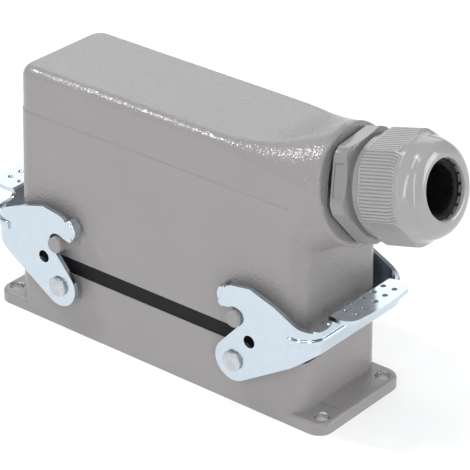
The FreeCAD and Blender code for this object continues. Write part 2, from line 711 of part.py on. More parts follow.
def crown_line_size(step):
    """Length, width and corner of the hood's walls at the faint step round its upper part."""
    rise = (CROWN_LINE - HOOD_BOTTOM) / HOOD_HEIGHT
    foot_length = HOOD_LENGTH - 2 * SKIRT_STEP + step
    foot_width = HOOD_WIDTH - 2 * SKIRT_STEP + step
    length = foot_length + rise * (HOOD_TOP_LENGTH + step - foot_length)
    width = foot_width + rise * (HOOD_TOP_WIDTH + step - foot_width)
    return (length, width, HOOD_CORNER + rise * (HOOD_TOP_CORNER - HOOD_CORNER))


def hood_housing():
    foot = (HOOD_LENGTH, HOOD_WIDTH, HOOD_CORNER)
    crown = (HOOD_TOP_LENGTH, HOOD_TOP_WIDTH, HOOD_TOP_CORNER)
    inset = 2 * SKIRT_STEP
    shell = drafted_block((foot[0] - inset, foot[1] - inset, foot[2]), crown, HOOD_BOTTOM, HOOD_TOP)
    top_edges = [edge for edge in shell.Edges if edge.BoundBox.ZMin > HOOD_TOP - 0.01]
    shell = shell.makeFillet(HOOD_TOP_ROUND, top_edges)
    step = 2 * CROWN_STEP
    shell = shell.fuse(drafted_block((foot[0] - inset + step, foot[1] - inset + step, foot[2]),
                                     crown_line_size(step), HOOD_BOTTOM, CROWN_LINE))
    shell = shell.cut(box(HOOD_TOP_LENGTH / 2 - FLARE_LENGTH, HOOD_LENGTH, -HOOD_WIDTH, HOOD_WIDTH, CROWN_LINE,
                          HOOD_TOP + OVERCUT))
    shrink = 2 * SKIRT_HEIGHT * (HOOD_LENGTH - HOOD_TOP_LENGTH) / 2 / HOOD_HEIGHT
    skirt_top = (foot[0] - shrink, foot[1] - shrink, foot[2])
    skirt = drafted_block(foot, skirt_top, HOOD_BOTTOM, HOOD_BOTTOM + SKIRT_HEIGHT)
    pieces = [shell, skirt, gland_boss()]
    for one in in_four_corners(peg()):
        pieces.append(one)
    hood = pieces[0]
    for piece in pieces[1:]:
        hood = hood.fuse(piece)
    room_foot = (HOOD_LENGTH - 2 * HOOD_WALL, HOOD_WIDTH - 2 * HOOD_WALL, HOOD_CORNER - HOOD_WALL)
    room_crown = (HOOD_TOP_LENGTH - 2 * HOOD_WALL, HOOD_TOP_WIDTH - 2 * HOOD_WALL, HOOD_TOP_CORNER - HOOD_WALL)
    hood = hood.cut(drafted_block(room_foot, room_crown, HOOD_BOTTOM - 0.01, CAVITY_TOP))
    centre = vec(BOSS_RING_X, 0, BOSS_RING_Z)
    thread = rod(GLAND_THREAD_RADIUS, centre.sub(gland_axis() * 30), centre.add(gland_axis() * OVERCUT))
    core = rod(BOSS_CORE_RADIUS, centre.sub(gland_axis() * 30), centre.sub(gland_axis() * BOSS_THREAD_DEPTH))
    hood = hood.cut(thread).cut(core)
    for post in in_four_corners(hood_post()):
        hood = hood.fuse(post)
    for hole in in_four_corners(insert_screw_hole(PIN_SEAT + PLATE, 1)):
        hood = hood.cut(hole)
    return hood


# Gland, drawn along +Z from the boss ring and then set on the boss


def on_boss(shape):
    shape.rotate(vec(0, 0, 0), vec(0, 1, 0), 90 - GLAND_TILT)
    shape.translate(vec(BOSS_RING_X, 0, BOSS_RING_Z))
    return shape


def tube(radius, bore, z0, z1):
    return rod(radius, vec(0, 0, z0), vec(0, 0, z1)).cut(rod(bore, vec(0, 0, z0 - 1), vec(0, 0, z1 + 1)))


def hexagon(flats, z0, z1):
    corner = flats / math.sqrt(3)
    points = [on_circle((0, 0), corner, 60 * number) for number in range(6)]
    return outline_face(points, lambda x, y: vec(x, y, z0)).extrude(vec(0, 0, z1 - z0))


def gland_washer():
    return on_boss(tube(HEX_FLATS / 2 - WASHER_INSET, GLAND_THREAD_RADIUS, 0, WASHER_THICKNESS))


def gland_body():
    low = WASHER_THICKNESS
    high = low + HEX_LENGTH
    limit = HEX_CORNERS / 2
    chamfered = turned([(0, low), (limit, low), (limit, high - HEX_CHAMFER), (limit - 2 * HEX_CHAMFER, high),
                        (0, high)], radius_height)
    hexagonal = hexagon(HEX_FLATS, low, high).common(chamfered)
    for turn in (0, 180):
        panel = box(-HEX_PANEL_HALF, HEX_PANEL_HALF, HEX_FLATS / 2 - HEX_PANEL_DEPTH, HEX_FLATS,
                    low + HEX_PANEL_MARGIN, high - HEX_PANEL_MARGIN - HEX_CHAMFER / 2)
        panel.rotate(vec(0, 0, 0), vec(0, 0, 1), turn)
        hexagonal = hexagonal.cut(panel)
    hexagonal.rotate(vec(0, 0, 0), vec(0, 0, 1), HEX_TURN)
    nut_thread = high + COLLAR_LENGTH + NUT_THREAD_LENGTH
    claw_end = NUT_END - CLAW_END_GAP
    tip = CLAW_TIP_RADIUS
    core = turned([(GLAND_BORE, -GLAND_THREAD_LENGTH), (GLAND_THREAD_RADIUS, -GLAND_THREAD_LENGTH),
                   (GLAND_THREAD_RADIUS, low), (COLLAR_RADIUS - 1.2, low), (COLLAR_RADIUS - 1.2, high),
                   (COLLAR_RADIUS - 1.2, high + 1.6), (COLLAR_RADIUS, high + 1.6),
                   (COLLAR_RADIUS, high + COLLAR_LENGTH), (NUT_THREAD_RADIUS, high + COLLAR_LENGTH),
                   (NUT_THREAD_RADIUS, nut_thread), (GLAND_BORE + CLAW_WALL, nut_thread),
                   (GLAND_BORE + CLAW_WALL, claw_end - 4.5), (tip, claw_end), (tip - CLAW_WALL, claw_end),
                   (GLAND_BORE, claw_end - 4.5)], radius_height)
    body = core.fuse(hexagonal.cut(rod(GLAND_BORE + 0.5, vec(0, 0, 0), vec(0, 0, high + 1))))
    for number in range(CLAW_COUNT):
        slot = box(tip - CLAW_WALL - 1, GLAND_BORE + CLAW_WALL + 1, -CLAW_SLOT / 2, CLAW_SLOT / 2,
                   nut_thread + 0.8, claw_end + 1)
        slot.rotate(vec(0, 0, 0), vec(0, 0, 1), 360.0 * number / CLAW_COUNT)
        body = body.cut(slot)
    return on_boss(body)


def gland_seal():
    end = NUT_END - CLAW_END_GAP - 0.5
    tip = CLAW_TIP_RADIUS - CLAW_WALL - 0.05
    start = end - SEAL_LENGTH
    profile = [(SEAL_BORE, start), (GLAND_BORE, start), (GLAND_BORE, end - 4.4), (tip, end), (SEAL_BORE + 0.8, end),
               (SEAL_BORE, end - 1.0)]
    return on_boss(turned(profile, radius_height))


def nut_outline(z0, z1):
    """The six flats and round corners with fine ribs all round, drawn up from z0 to z1."""
    points = []
    for number in range(NUT_RIB_COUNT):
        for share, depth in ((0, NUT_RIB_DEPTH), (NUT_RIB_FLANK, 0), (1 - NUT_RIB_FLANK, 0)):
            degrees = 360 * (number + share) / NUT_RIB_COUNT
            from_flat = math.radians(degrees % 60 - 30)
            reach = min(NUT_FLATS / 2 / math.cos(from_flat), NUT_CORNERS / 2)
            points.append(on_circle((0, 0), reach - depth, degrees))
    return outline_face(points, lambda x, y: vec(x, y, z0)).extrude(vec(0, 0, z1 - z0))


def cap_nut():
    start = NUT_START
    end = NUT_END
    corner = NUT_CORNERS / 2
    flat = NUT_FLATS / 2
    ribs_end = start + 0.6 + NUT_RIB_LENGTH
    lip = NUT_MOUTH + NUT_LIP
    dome = [(0, start), (corner - 0.8, start), (corner, start + 0.8), (corner, ribs_end - 1.0),
            (flat - 0.9, ribs_end + 1.4), "arc", (flat - 1.7, ribs_end + 3.0), (lip + 1.0, end - 1.3),
            "arc", (lip + 0.1, end - 0.4), (lip - 1.1, end), (NUT_MOUTH + 0.7, end), (NUT_MOUTH, end - 0.8),
            (0, end - 0.8)]
    nut = turned(dome, radius_height).common(hexagon_or_ribs(start, end, ribs_end))
    thread = NUT_THREAD_RADIUS + RUNNING_CLEARANCE
    claw_root = GLAND_BORE + CLAW_WALL + 0.35
    claw_end = end - CLAW_END_GAP
    thread_end = start - NUT_GAP + NUT_THREAD_LENGTH
    room = turned([(0, start - 1), (thread, start - 1), (thread, thread_end + 0.6),
                   (claw_root, thread_end + 2.2), (claw_root, claw_end - 4.3),
                   (CLAW_TIP_RADIUS + 0.35, claw_end + 0.2), (NUT_MOUTH, claw_end + 0.6), (NUT_MOUTH, end + 1),
                   (0, end + 1)], radius_height)
    nut = nut.cut(room)
    nut.rotate(vec(0, 0, 0), vec(0, 0, 1), NUT_TURN)
    return on_boss(nut)


def hexagon_or_ribs(start, end, ribs_end):
    plain = hexagon(NUT_FLATS, ribs_end, end + 1)
    foot = hexagon(NUT_FLATS, start - 1, start + 0.6)
    return nut_outline(start + 0.6, ribs_end).fuse(plain).fuse(foot)


# Contact inserts


def pole_places():
    places = []
    for row in (-ROW_PITCH / 2, ROW_PITCH / 2):
        for number in range(POLES_PER_ROW):
            places.append(((number - (POLES_PER_ROW - 1) / 2) * POLE_PITCH, row))
    return places


def square_bar(x, y, width, z0, z1):
    return box(x - width / 2, x + width / 2, y - width / 2, y + width / 2, z0, z1)


def end_tongues(z0, z1, reach):
    half = INSERT_HALF_WIDTH - 2
    tongue = box(INSERT_HALF_LENGTH - 1, INSERT_HALF_LENGTH + reach, -half, half, z0, z1)
    return [tongue, mirrored_x(tongue)]


def with_chambers(moulding, z0, z1):
    for x, y in pole_places():
        moulding = moulding.cut(square_bar(x, y, CHAMBER, z0 - OVERCUT, z1 + OVERCUT))
    return moulding


def socket_insert():
    body = block(2 * INSERT_HALF_LENGTH, 2 * INSERT_HALF_WIDTH, 1.5, SOCKET_REAR, MATING_FACE)
    tongues = end_tongues(SOCKET_SEAT - TONGUE_HEIGHT, SOCKET_SEAT, TONGUE)
    keepers = end_tongues(SOCKET_SEAT + PLATE, SOCKET_SEAT + PLATE + 2, SHROUD_WALL * 0.9)
    moulding = join([body] + tongues + keepers)
    return with_chambers(moulding, SOCKET_REAR, MATING_FACE)


def pin_insert():
    shroud_length = 2 * (INSERT_HALF_LENGTH + SHROUD_GAP + SHROUD_WALL)
    shroud_width = 2 * (INSERT_HALF_WIDTH + SHROUD_GAP + SHROUD_WALL)
    floor = MATING_FACE + 2.0
    shroud = block(shroud_length, shroud_width, 2.5, SHROUD_END, PIN_SEAT)
    room = block(shroud_length - 2 * SHROUD_WALL, shroud_width - 2 * SHROUD_WALL, 1.2, SHROUD_END - 1, floor)
    rear = block(2 * INSERT_HALF_LENGTH, 2 * INSERT_HALF_WIDTH, 1.5, PIN_SEAT - 1, PIN_REAR)
    tongues = end_tongues(PIN_SEAT + PLATE, PIN_SEAT + PLATE + TONGUE_HEIGHT, TONGUE)
    moulding = join([shroud.cut(room), rear] + tongues)
    return with_chambers(moulding, floor, PIN_REAR)


def socket_contacts():
    contacts = []
    width = CHAMBER - 2 * CONTACT_GAP
    low = SOCKET_REAR + CONTACT_INSET
    high = MATING_FACE - CONTACT_INSET
    for x, y in pole_places():
        contact = square_bar(x, y, width, low, high)
        contact = contact.cut(square_bar(x, y, SOCKET_BORE, high - SOCKET_BORE_DEPTH, high + 1))
        contact = contact.cut(square_bar(x, y, WIRE_BORE, low - 1, low + WIRE_BORE_DEPTH))
        contacts.append(contact)
    return contacts


def pin_contacts():
    contacts = []
    width = CHAMBER - 2 * CONTACT_GAP
    low = MATING_FACE + 2.0 + CONTACT_INSET
    high = PIN_REAR - CONTACT_INSET
    for x, y in pole_places():
        contact = square_bar(x, y, width, low, high)
        contact = contact.cut(square_bar(x, y, WIRE_BORE, high - WIRE_BORE_DEPTH, high + 1))
        contacts.append(contact.fuse(rod(PIN_RADIUS, vec(x, y, PIN_TIP), vec(x, y, low + 1))))
    return contacts


def earth_frame(seat, front, blade_x):
    """One end plate with its contact blade. front is 1 if the blade points up, -1 if down."""
    low = seat
    half = INNER_WIDTH / 2 - PLATE_SIDE_GAP
    plate = box(INSERT_HALF_LENGTH, INNER_LENGTH / 2 - PLATE_END_GAP, -half, half, low, low + PLATE)
    end_corners = [edge for edge in plate.Edges
                   if edge.BoundBox.XMin > INSERT_HALF_LENGTH + 1 and edge.BoundBox.ZLength > PLATE - 0.01]
    plate = plate.makeFillet(PLATE_CORNER, end_corners)
    blade_root = low + PLATE if front > 0 else low
    blade_ends = sorted((blade_root - front * 0.5, blade_root + front * BLADE_LENGTH))
    blade = box(blade_x, blade_x + BLADE, -BLADE_HALF_WIDTH, BLADE_HALF_WIDTH, blade_ends[0], blade_ends[1])
    rear = low if front > 0 else low + PLATE
    nut_ends = sorted((rear + front * 0.5, rear - front * EARTH_NUT_HEIGHT))
    x = INSERT_SCREW_X / 2
    nut = box(x - EARTH_NUT / 2, x + EARTH_NUT / 2, -EARTH_NUT / 2, EARTH_NUT / 2, nut_ends[0], nut_ends[1])
    frame = join([plate, blade, nut])
    for y in (-INSERT_SCREW_Y / 2, 0, INSERT_SCREW_Y / 2):
        frame = frame.cut(rod(INSERT_SCREW_RADIUS, vec(x, y, low - 10), vec(x, y, low + 10)))
    return frame


def blade_start():
    return INSERT_HALF_LENGTH + SHROUD_GAP + SHROUD_WALL + 0.5


def socket_earth_right():
    return earth_frame(SOCKET_SEAT, 1, blade_start())


def pin_earth_right():
    return earth_frame(PIN_SEAT, -1, blade_start() + BLADE + BLADE_GAP)


def screw(x, y, seat, direction, length):
    """A slotted screw whose head lies on seat and whose shank runs the way of direction."""
    head = rod(SCREW_HEAD_RADIUS, vec(x, y, seat), vec(x, y, seat - direction * SCREW_HEAD_HEIGHT))
    shank = rod(INSERT_SCREW_RADIUS, vec(x, y, seat), vec(x, y, seat + direction * length))
    face = seat - direction * SCREW_HEAD_HEIGHT
    cut = sorted((face - direction * 1, face + direction * SLOT_DEPTH))
    slot = box(x - 5, x + 5, y - SLOT_WIDTH / 2, y + SLOT_WIDTH / 2, cut[0], cut[1])
    return head.fuse(shank).cut(slot)


def socket_fixing_screws():
    one = screw(INSERT_SCREW_X / 2, -INSERT_SCREW_Y / 2, SOCKET_SEAT + PLATE, -1, PLATE + SCREW_DEPTH - 0.5)
    return in_four_corners(one)


def pin_fixing_screws():
    one = screw(INSERT_SCREW_X / 2, -INSERT_SCREW_Y / 2, PIN_SEAT, 1, PLATE + SCREW_DEPTH - 0.5)
    return in_four_corners(one)


def socket_earth_screws():
    one = screw(INSERT_SCREW_X / 2, 0, SOCKET_SEAT - EARTH_NUT_HEIGHT, 1, PLATE + EARTH_NUT_HEIGHT)
    return [one, mirrored_x(one)]


def pin_earth_screws():
    one = screw(INSERT_SCREW_X / 2, 0, PIN_SEAT + PLATE + EARTH_NUT_HEIGHT, -1, PLATE + EARTH_NUT_HEIGHT)
    return [one, mirrored_x(one)]


NODES = {
    "base_housing": [base_housing()],
    "panel_gasket": [panel_gasket()],
    "mating_gasket": [mating_gasket()],
    "lever_rivets": lever_rivets(),
    "lever_right": [lever_right()],
    "lever_left": [mirrored_x(lever_right())],
    "hood_housing": [hood_housing()],
    "gland_washer": [gland_washer()],
    "gland_body": [gland_body()],
    "gland_seal": [gland_seal()],
    "cap_nut": [cap_nut()],
    "socket_insert": [socket_insert()],
    "socket_contacts": socket_contacts(),
    "socket_earth_right": [socket_earth_right()],
    "socket_earth_left": [mirrored_x(socket_earth_right())],
    "socket_fixing_screws": socket_fixing_screws(),
    "socket_earth_screws": socket_earth_screws(),
    "pin_insert": [pin_insert()],
    "pin_contacts": pin_contacts(),
    "pin_earth_right": [pin_earth_right()],
    "pin_earth_left": [mirrored_x(pin_earth_right())],
    "pin_fixing_screws": pin_fixing_screws(),
    "pin_earth_screws": pin_earth_screws(),
}

os.makedirs("parts", exist_ok=True)
for name, solids in NODES.items():
    found = []
    for shape in solids:
        found.extend(shape.Solids)
    shape = found[0] if len(found) == 1 else Part.makeCompound(found)
    shape.exportStep("parts/" + name + ".step")
    print(name, len(found), "valid" if shape.isValid() else "INVALID", round(shape.Volume, 1))
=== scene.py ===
import math

import bpy
from mathutils import Matrix, Vector


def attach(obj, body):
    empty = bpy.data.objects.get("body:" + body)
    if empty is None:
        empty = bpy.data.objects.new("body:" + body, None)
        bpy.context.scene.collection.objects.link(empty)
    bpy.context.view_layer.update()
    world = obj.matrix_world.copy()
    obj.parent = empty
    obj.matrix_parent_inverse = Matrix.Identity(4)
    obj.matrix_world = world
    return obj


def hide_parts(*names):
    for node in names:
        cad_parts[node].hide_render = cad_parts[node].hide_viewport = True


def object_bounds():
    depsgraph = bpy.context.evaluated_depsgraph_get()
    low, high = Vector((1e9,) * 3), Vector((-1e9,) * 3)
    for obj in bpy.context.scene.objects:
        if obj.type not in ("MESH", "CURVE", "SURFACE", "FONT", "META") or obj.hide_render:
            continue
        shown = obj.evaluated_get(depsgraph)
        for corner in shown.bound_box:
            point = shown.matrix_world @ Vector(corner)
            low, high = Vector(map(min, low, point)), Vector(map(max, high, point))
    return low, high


# The looks of the heavy duty rectangular connector: powder coated housings, zinc levers and a
# nylon cable gland, on a pale studio floor. Sizes are metres, in the part's own frame.

MM = 0.001

# A thousandth of a millimetre, less than any real distance on the part
HAIR = 0.001 * MM

# How far the edges of cast, folded and moulded pieces are rounded
CAST_EDGE = 0.35 * MM
SHEET_EDGE = 0.18 * MM
MOULDED_EDGE = 0.2 * MM

# In degrees: faces that meet within the first are joined, edges sharper than the second are rounded, and
# edges softer than the last two look smooth, on pieces with plain and with rounded edges
JOINED_WITHIN = 0.6
ROUNDED_FROM = 55
SMOOTH_PLAIN = 28
SMOOTH_ROUNDED = 32

# The crown line round the hood by its height and its outline's half length, half width and corner, how high
# its faint step slopes, and where the flare to the gland starts and from what height it is eased
CROWN_LINE = (74.2 * MM, 58.395 * MM, 20.145 * MM, 5.7 * MM)
CROWN_SLOPE = 0.15 * MM
FLARE_START = 28.15 * MM
FLARE_EASED_FROM = 75.2 * MM

# The holes that bolt the flange down, how far out and up their countersinks reach, and how far in from the
# holes the webs on the flange start
HOLE_X = 65.0 * MM
HOLE_Y = 16.0 * MM
HOLE_RIM = 2.8 * MM
HOLE_TOP = 4.4 * MM
WEB_START = 4 * MM

# On the levers, out from the middle and up: the hooks' tips and their noses, with what moves a nose's corner
# in, then the ends of the bar's bead. The pedal's root is given out from the middle and to the side.
HOOK_TIP = (32.4 * MM, 43.4 * MM)
HOOK_NOSE = (31.37 * MM, 37.49 * MM)
NOSE_MOVE = (-0.5 * MM, 0.15 * MM)
BEAD_END = 58.4 * MM
BEAD_LOW = 31.5 * MM
BEAD_HIGH = 35.0 * MM
PEDAL_ROOT = (65.6 * MM, 14.6 * MM)

# The gland's tilt in degrees, the boss ring that it screws against, and how far out its cap nut starts and
# how many degrees the nut is turned
GLAND_TILT = 15.0
BOSS_RING = (64.9 * MM, 0, 78.9 * MM)
NUT_OUT = 12.0 * MM
NUT_TURN = 9.0

# The dark band at the foot of the gland's hexagon, partly the flat seal's edge and partly painted shadow in
# the gap against the boss, along the gland and out from its axis
HEX_FOOT_START = 1.6 * MM
HEX_FOOT_END = 2.05 * MM
HEX_FOOT_INSIDE = 14.0 * MM

# The cap nut in millimetres: its outside, and then the radii of its mouth, of the lip round it, and of the
# room for the gland body's claws and thread
NUT_SIDES = 6
NUT_FLATS = 32.5
NUT_CORNERS = 35.36
NUT_LENGTH = 20.05
NUT_RIBS = 102
NUT_RIB_START = 0.6
NUT_RIB_LENGTH = 12.0
NUT_RIB_DEPTH = 0.32
NUT_STEP = 0.05
NUT_DOME_STEPS = 30
NUT_MOUTH = 9.3
NUT_LIP = 2.2
NUT_CLAW_MOUTH = 10.65
NUT_CLAW_ROOM = 12.15
NUT_THREAD = 14.06

# The camera stands where the photograph was taken from
CAMERA_PLACE = (0.45427, -0.54340, 0.41823)
CAMERA_RIGHT = (0.77637, 0.63023, 0.00749)
CAMERA_UP = (-0.30248, 0.36214, 0.88170)
CAMERA_BACK = (0.55295, -0.68679, 0.47178)
CAMERA_LENS = 190.57
CAMERA_SENSOR = 36

# The studio's soft lights, all facing one point: place, width and length, watts and colour
LIT_POINT = (0, 0, 0.05)
STRIP = 0.17
WHITE = (1, 1, 1)
COOL_WHITE = (0.95, 0.98, 1.0)
LIGHTS = {
    "key_light": ((-0.83, -0.40, 1.17), (0.15, 0.15), 8.2, WHITE),
    "back_light": ((-0.85, 1.1, 0.8), (1.6, 1.0), 7, COOL_WHITE),
    "right_light": ((1.3, 0.9, 0.5), (0.6, 0.8), 9.5, WHITE),
    "left_strip_low": ((0.12, -1.3, 0.68), (STRIP, 1.3), 5, WHITE),
    "left_strip_high": ((0.06, -0.22, 1.4), (STRIP, 0.8), 2.5, WHITE),
    "right_strip_low": ((1.03, -0.82, 0.62), (STRIP, 1.5), 5.5, WHITE),
    "right_strip_high": ((0.2, 0.0, 1.4), (STRIP, 0.8), 2.5, WHITE),
}
AIR_COLOUR = (0.92, 0.95, 1.0, 1)
AIR_STRENGTH = 0.27
FLOOR_SIZE = 8
FLOOR_GLOW = 0.56


# Materials

def new_material(name):
    """A new material with its nodes, its shader's inputs and the coordinates that its textures lie on."""
    material = bpy.data.materials.new(name)
    material.use_nodes = True
    tree = material.node_tree
    where = tree.nodes.new("ShaderNodeTexCoord").outputs["Object"]
    return material, tree, tree.nodes["Principled BSDF"].inputs, where


def noise(tree, where, scale, detail):
    texture = tree.nodes.new("ShaderNodeTexNoise")
    texture.inputs["Scale"].default_value = scale
    texture.inputs["Detail"].default_value = detail
    tree.links.new(where, texture.inputs["Vector"])
    return texture.outputs["Fac"]


def shades(tree, value, low, high, margin=0.3):
    """A colour that goes from low to high with a value, and stays the same within a margin at its ends."""
    ramp = tree.nodes.new("ShaderNodeValToRGB")
    start, end = ramp.color_ramp.elements
    start.position = margin
    start.color = (*low, 1)
    end.position = 1 - margin
    end.color = (*high, 1)
    tree.links.new(value, ramp.inputs["Fac"])
    return ramp.outputs["Color"]


def spread(tree, value, low, high):
    """A number that goes from low to high over the middle part of a noise."""
    reach = tree.nodes.new("ShaderNodeMapRange")
    reach.inputs["From Min"].default_value = 0.2
    reach.inputs["From Max"].default_value = 0.8
    reach.inputs["To Min"].default_value = low
    reach.inputs["To Max"].default_value = high
    tree.links.new(value, reach.inputs["Value"])
    return reach.outputs["Result"]


def bump(tree, height, strength, distance):
    relief = tree.nodes.new("ShaderNodeBump")
    relief.inputs["Strength"].default_value = strength
    relief.inputs["Distance"].default_value = distance
    tree.links.new(height, relief.inputs["Height"])
    return relief.outputs["Normal"]


def powder_coat():
    """Warm grey paint with a fine orange peel."""
    material, tree, inputs, where = new_material("powder_coat")
    patches = noise(tree, where, scale=45, detail=2)
    colour = shades(tree, patches, (0.290, 0.276, 0.274), (0.308, 0.294, 0.292), margin=0.2)
    tree.links.new(colour, inputs["Base Color"])
    tree.links.new(spread(tree, patches, 0.2, 0.26), inputs["Roughness"])
    pores = tree.nodes.new("ShaderNodeTexVoronoi")
    pores.feature = "SMOOTH_F1"
    pores.inputs["Scale"].default_value = 1350
    pores.inputs["Smoothness"].default_value = 1.0
    tree.links.new(where, pores.inputs["Vector"])
    orange_peel = bump(tree, pores.outputs["Distance"], strength=1.0, distance=0.15 * MM)
    tree.links.new(orange_peel, inputs["Normal"])
    inputs["Specular IOR Level"].default_value = 0.4
    return material


def bright_zinc():
    """Blue passivated zinc, as on the levers."""
    material, tree, inputs, where = new_material("bright_zinc")
    cloud = noise(tree, where, scale=420, detail=4)
    tree.links.new(shades(tree, cloud, (0.57, 0.645, 0.705), (0.595, 0.67, 0.732)), inputs["Base Color"])
    inputs["Metallic"].default_value = 1.0
    tree.links.new(spread(tree, cloud, 0.16, 0.19), inputs["Roughness"])
    ripple = noise(tree, where, scale=1500, detail=1)
    tree.links.new(bump(tree, ripple, strength=0.1, distance=0.02 * MM), inputs["Normal"])
    return material


def dull_metal(name, low, high, roughness):
    material, tree, inputs, where = new_material(name)
    cloud = noise(tree, where, scale=500, detail=3)
    tree.links.new(shades(tree, cloud, low, high), inputs["Base Color"])
    inputs["Metallic"].default_value = 1.0
    tree.links.new(spread(tree, cloud, roughness - 0.06, roughness + 0.08), inputs["Roughness"])
    tree.links.new(bump(tree, cloud, strength=0.12, distance=0.1 * MM), inputs["Normal"])
    return material


def black_rubber(name, roughness):
    material, tree, inputs, where = new_material(name)
    cloud = noise(tree, where, scale=300, detail=4)
    tree.links.new(shades(tree, cloud, (0.006, 0.006, 0.007), (0.012, 0.012, 0.014)), inputs["Base Color"])
    tree.links.new(spread(tree, cloud, roughness - 0.06, roughness + 0.06), inputs["Roughness"])
    grain = noise(tree, where, scale=2500, detail=2)
    tree.links.new(bump(tree, grain, strength=0.2, distance=0.05 * MM), inputs["Normal"])
    inputs["Specular IOR Level"].default_value = 0.25
    return material


def moulded_nylon(name, low, high):
    """Glossy grey nylon without any grain that can be felt."""
    material, tree, inputs, where = new_material(name)
    cloud = noise(tree, where, scale=60, detail=3)
    tree.links.new(shades(tree, cloud, low, high), inputs["Base Color"])
    grain = noise(tree, where, scale=1500, detail=2)
    tree.links.new(spread(tree, grain, 0.09, 0.15), inputs["Roughness"])
    return material


def insert_plastic():
    material, tree, inputs, where = new_material("insert_plastic")
    cloud = noise(tree, where, scale=80, detail=3)
    tree.links.new(shades(tree, cloud, (0.50, 0.505, 0.50), (0.54, 0.545, 0.54)), inputs["Base Color"])
    grain = noise(tree, where, scale=1800, detail=2)
    tree.links.new(spread(tree, grain, 0.40, 0.52), inputs["Roughness"])
    tree.links.new(bump(tree, grain, strength=0.1, distance=0.05 * MM), inputs["Normal"])
    return material


def floor_paint():
    """A pale floor that glows a little, so that the shadows on it stay faint."""
    material, tree, inputs, where = new_material("studio_floor")
    cloud = noise(tree, where, scale=6, detail=2)
    tree.links.new(shades(tree, cloud, (0.50, 0.50, 0.50), (0.53, 0.53, 0.53)), inputs["Base Color"])
    inputs["Roughness"].default_value = 0.9
    inputs["Specular IOR Level"].default_value = 0.0
    inputs["Emission Color"].default_value = (1, 1, 1, 1)
    inputs["Emission Strength"].default_value = FLOOR_GLOW
    return material


# Working on pieces

def nothing_selected():
    if bpy.context.object and bpy.context.object.mode != "OBJECT":
        bpy.ops.object.mode_set(mode="OBJECT")
    bpy.ops.object.select_all(action="DESELECT")


def work_on(piece):
    nothing_selected()
    piece.select_set(True)
    bpy.context.view_layer.objects.active = piece


def open_whole(piece):
    """Opens a piece in edit mode with all of its mesh selected."""
    work_on(piece)
    bpy.ops.object.mode_set(mode="EDIT")
    bpy.ops.mesh.select_all(action="SELECT")


def close_piece():
    bpy.ops.object.mode_set(mode="OBJECT")


def finish_with(piece, kind, name, **settings):
    """Gives a piece one modifier and applies it."""
    work_on(piece)
    modifier = piece.modifiers.new(name, kind)
    for setting, value in settings.items():
        setattr(modifier, setting, value)
    bpy.ops.object.modifier_apply(modifier=modifier.name)


def pick(piece, wanted, kind="VERT"):
    """Opens a piece with those vertices, edges or faces selected that wanted says yes to, by their place."""
    bpy.ops.object.mode_set(mode="OBJECT")
    mesh = piece.data
    for part in (mesh.polygons, mesh.edges, mesh.vertices):
        part.foreach_set("select", [False] * len(part))
    if kind == "VERT":
        for point in mesh.vertices:
            point.select = wanted(point.co)
    elif kind == "EDGE":
        for edge in mesh.edges:
            edge.select = wanted(mesh.vertices[edge.vertices[0]].co, mesh.vertices[edge.vertices[1]].co)
    else:
        for face in mesh.polygons:
            face.select = wanted(face.center, face.normal)
    bpy.ops.object.mode_set(mode="EDIT")
    bpy.ops.mesh.select_mode(type=kind)


def merge(piece, wanted, within):
    """Merges the wanted vertices that lie within this distance of each other."""
    pick(piece, wanted)
    bpy.ops.mesh.remove_doubles(threshold=within)
    close_piece()


def give_faces(piece, wanted, material):
    """Gives the wanted faces of a dressed piece a second material."""
    piece.data.materials.append(material)
    pick(piece, wanted, "FACE")
    piece.active_material_index = 1
    bpy.ops.object.material_slot_assign()
    close_piece()


def merged_copy(node, name):
    """A copy of a node of the frame, closed up along its faces' seams and without a material."""
    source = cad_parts[node]
    piece = bpy.data.objects.new(name, source.data.copy())
    bpy.context.scene.collection.objects.link(piece)
    piece.data.materials.clear()
    open_whole(piece)
    bpy.ops.mesh.remove_doubles(threshold=2 * HAIR)
    bpy.ops.mesh.normals_make_consistent(inside=False)
    close_piece()
    return piece


def dress(piece, node, body, material, angle):
    """Smooths a piece, gives it its material and puts it in the place of the rigid node."""
    work_on(piece)
    bpy.ops.object.shade_smooth_by_angle(angle=math.radians(angle))
    finish_with(piece, "WEIGHTED_NORMAL", "even_shading", mode="FACE_AREA", weight=100, keep_sharp=True)
    piece.data.materials.append(material)
    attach(piece, body)
    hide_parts(node)


def plain_copy(node, name, body, material):
    """A dressed copy of a node, with its edges as they are."""
    dress(merged_copy(node, name), node, body, material, SMOOTH_PLAIN)


def rounded_copy(node, name, body, material, edge, ease=None):
    """A dressed copy of a node with rounded edges, after its tiny corners have been eased."""
    piece = merged_copy(node, name)
    if ease is not None:
        ease(piece)
    open_whole(piece)
    bpy.ops.mesh.dissolve_limited(angle_limit=math.radians(JOINED_WITHIN))
    close_piece()
    finish_with(piece, "BEVEL", "soft_edges", width=edge, segments=2, limit_method="ANGLE",
                angle_limit=math.radians(ROUNDED_FROM), use_clamp_overlap=True)
    dress(piece, node, body, material, SMOOTH_ROUNDED)
    return piece


# The housings, the levers and the gland's foot

def near(value, target, reach):
    return abs(value - target) < reach


def on_wall(place, height, half_length, half_width, corner):
    """True for a point that lies at a height on the outline of the hood's wall, a rounded rectangle."""
    x = abs(place.x) - (half_length - corner)
    y = abs(place.y) - (half_width - corner)
    outside = math.hypot(max(x, 0), max(y, 0)) + min(max(x, y), 0) - corner
    return near(place.z, height, 0.02 * MM) and near(outside, 0, 0.07 * MM)


def ease_hood(hood):
    """Slopes the faint step of the crown line and closes the seam where the flare starts."""
    pick(hood, lambda place: on_wall(place, *CROWN_LINE))
    bpy.ops.transform.translate(value=(0, 0, CROWN_SLOPE))
    merge(hood, lambda place: near(place.x, FLARE_START, 0.03 * MM) and place.z > FLARE_EASED_FROM,
          within=0.16 * MM)


